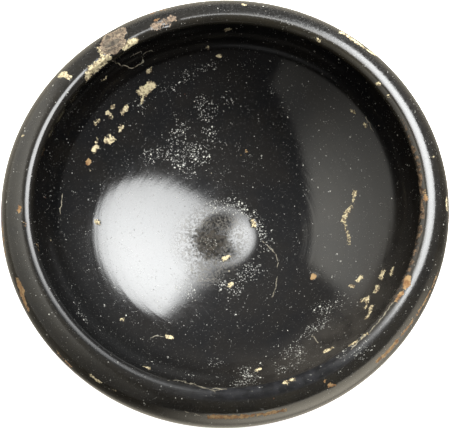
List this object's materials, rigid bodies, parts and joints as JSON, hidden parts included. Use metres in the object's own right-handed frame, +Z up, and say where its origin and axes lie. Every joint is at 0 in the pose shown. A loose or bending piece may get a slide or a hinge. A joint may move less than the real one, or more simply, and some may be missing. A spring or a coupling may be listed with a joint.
{
  "type": "black-gloss pottery dish",
  "caption": "Small round thrown pottery dish with an incurving rim and a ring foot, black-gloss slip over fired clay, worn and chipped at the rim, for holding condiments or small things.",
  "frame": {"origin": "centre of the standing ring, on the surface the dish stands on", "axes": "+Z up along the turning axis; +Y away from the viewer of the reference picture, +X to the viewer's right"},
  "size_m": [0.09, 0.09, 0.033],
  "materials": {
    "gloss_slip": "black gloss slip over fired clay, low sheen, with flakes, pits and lime deposits"
  },
  "bodies": {
    "root": {"dish": "gloss_slip"}
  },
  "joints": []
}
